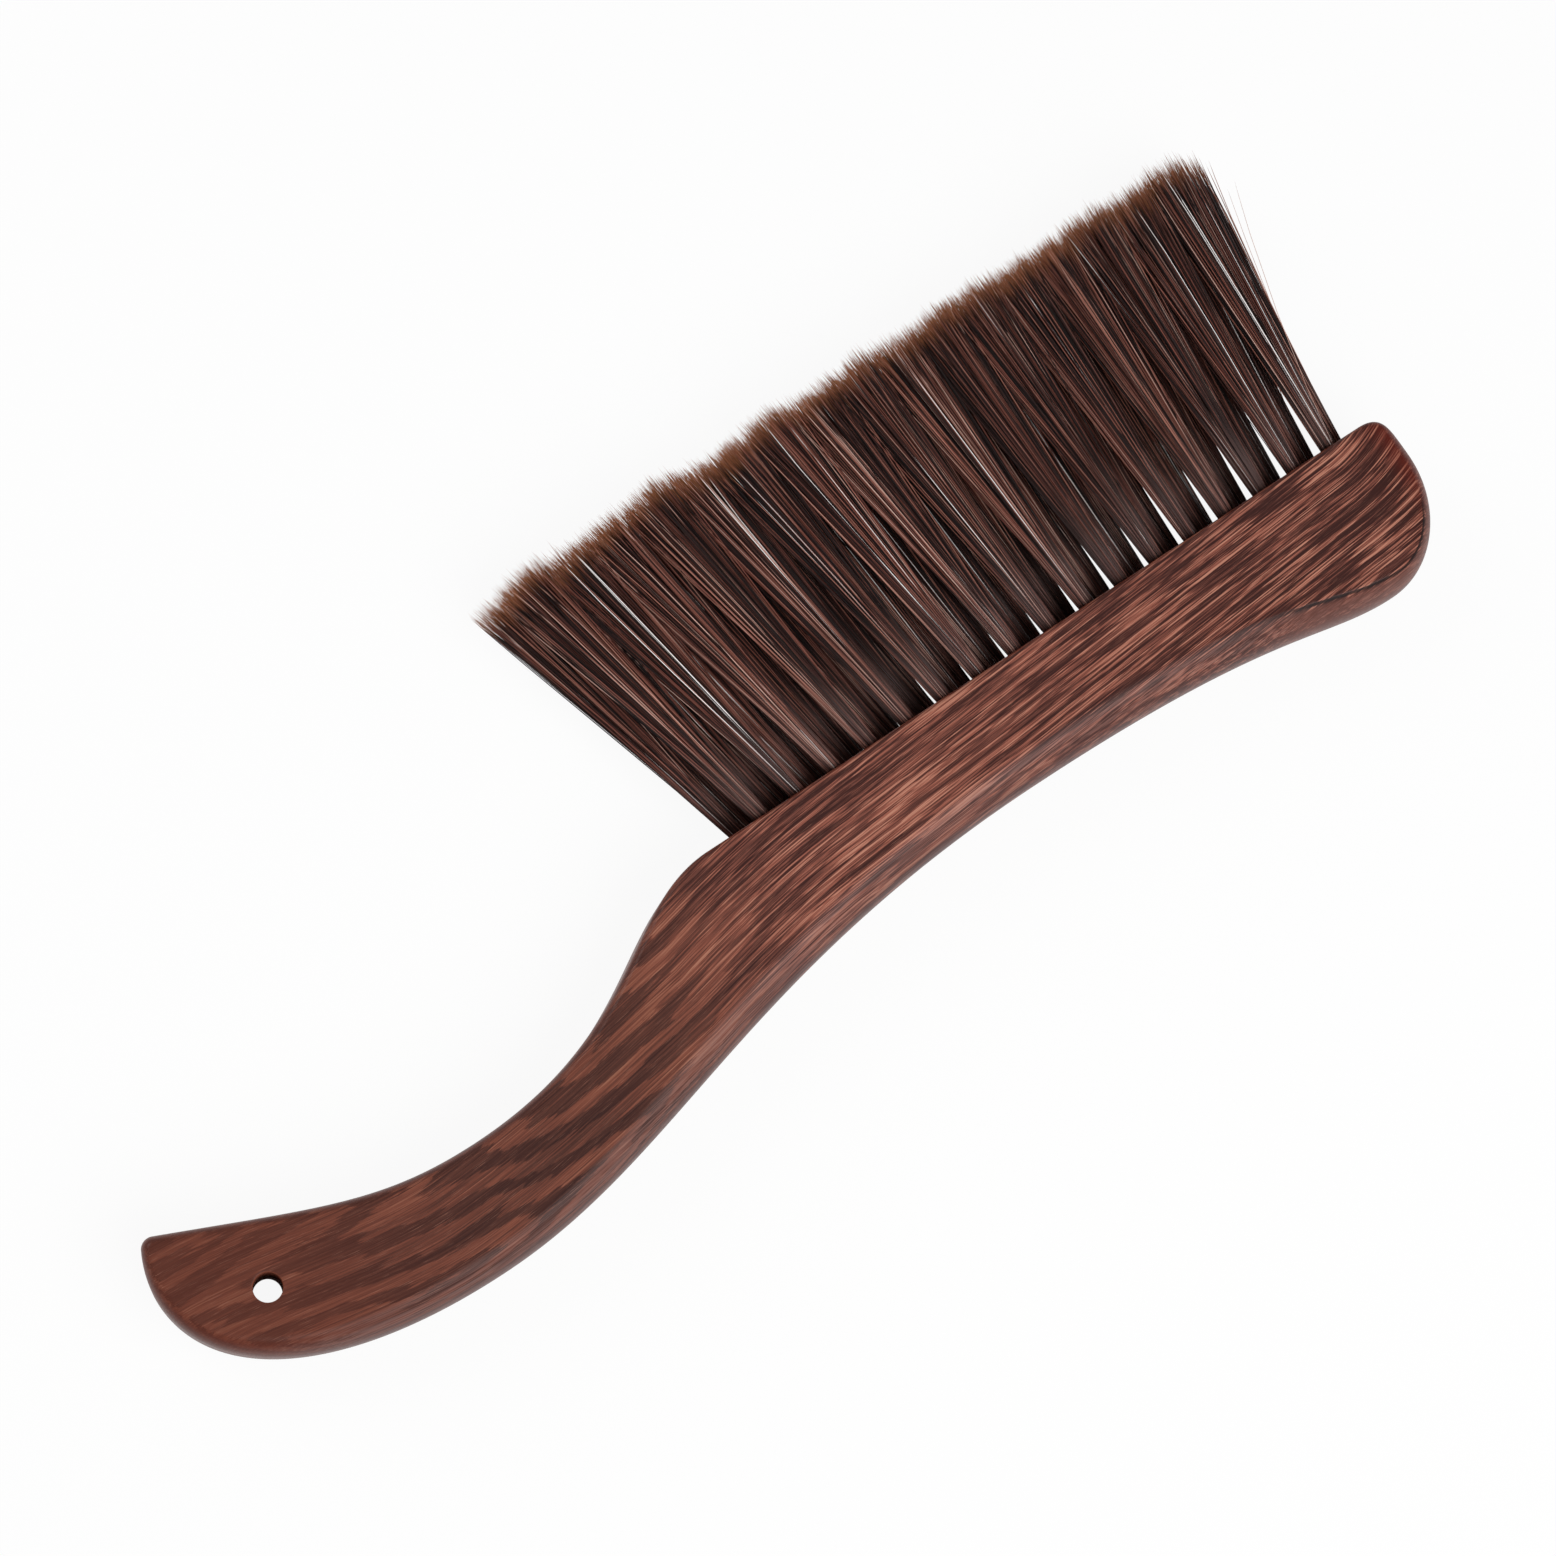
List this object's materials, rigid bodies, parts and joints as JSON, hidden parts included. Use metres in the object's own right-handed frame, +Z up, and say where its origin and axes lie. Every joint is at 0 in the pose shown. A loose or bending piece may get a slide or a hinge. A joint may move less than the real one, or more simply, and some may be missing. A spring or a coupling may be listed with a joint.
{
  "type": "neck duster brush",
  "caption": "Neck duster brush with a curved wooden handle, rows of long bristle tufts along one edge and a hang hole, for brushing cut hair off a client's neck.",
  "frame": {"origin": "on the axis of the hang hole, in the plane of the side face that the brush rests on", "axes": "+X along the head towards the nose, +Y towards the bristle tips, +Z up, through the handle's thickness"},
  "size_m": [0.3748, 0.1424, 0.025],
  "materials": {
    "handle_wood": "satin varnished dark red-brown wood with near-black streaks",
    "bristle": "dark brown filaments that turn lighter brown at the tips",
    "anchor_wire": "plain flat wire"
  },
  "bodies": {
    "root": {"handle": "handle_wood", "anchors_front": "anchor_wire", "anchors_middle": "anchor_wire", "anchors_back": "anchor_wire", "tuft_front_01": "bristle", "tuft_front_02": "bristle", "tuft_front_03": "bristle", "tuft_front_04": "bristle", "tuft_front_05": "bristle", "tuft_front_06": "bristle", "tuft_front_07": "bristle", "tuft_front_08": "bristle", "tuft_front_09": "bristle", "tuft_front_10": "bristle", "tuft_front_11": "bristle", "tuft_front_12": "bristle", "tuft_front_13": "bristle", "tuft_front_14": "bristle", "tuft_front_15": "bristle", "tuft_front_16": "bristle", "tuft_front_17": "bristle", "tuft_middle_01": "bristle", "tuft_middle_02": "bristle", "tuft_middle_03": "bristle", "tuft_middle_04": "bristle", "tuft_middle_05": "bristle", "tuft_middle_06": "bristle", "tuft_middle_07": "bristle", "tuft_middle_08": "bristle", "tuft_middle_09": "bristle", "tuft_middle_10": "bristle", "tuft_middle_11": "bristle", "tuft_middle_12": "bristle", "tuft_middle_13": "bristle", "tuft_middle_14": "bristle", "tuft_middle_15": "bristle", "tuft_middle_16": "bristle", "tuft_middle_17": "bristle", "tuft_middle_18": "bristle", "tuft_back_01": "bristle", "tuft_back_02": "bristle", "tuft_back_03": "bristle", "tuft_back_04": "bristle", "tuft_back_05": "bristle", "tuft_back_06": "bristle", "tuft_back_07": "bristle", "tuft_back_08": "bristle", "tuft_back_09": "bristle", "tuft_back_10": "bristle", "tuft_back_11": "bristle", "tuft_back_12": "bristle", "tuft_back_13": "bristle", "tuft_back_14": "bristle", "tuft_back_15": "bristle", "tuft_back_16": "bristle", "tuft_back_17": "bristle"}
  },
  "joints": []
}
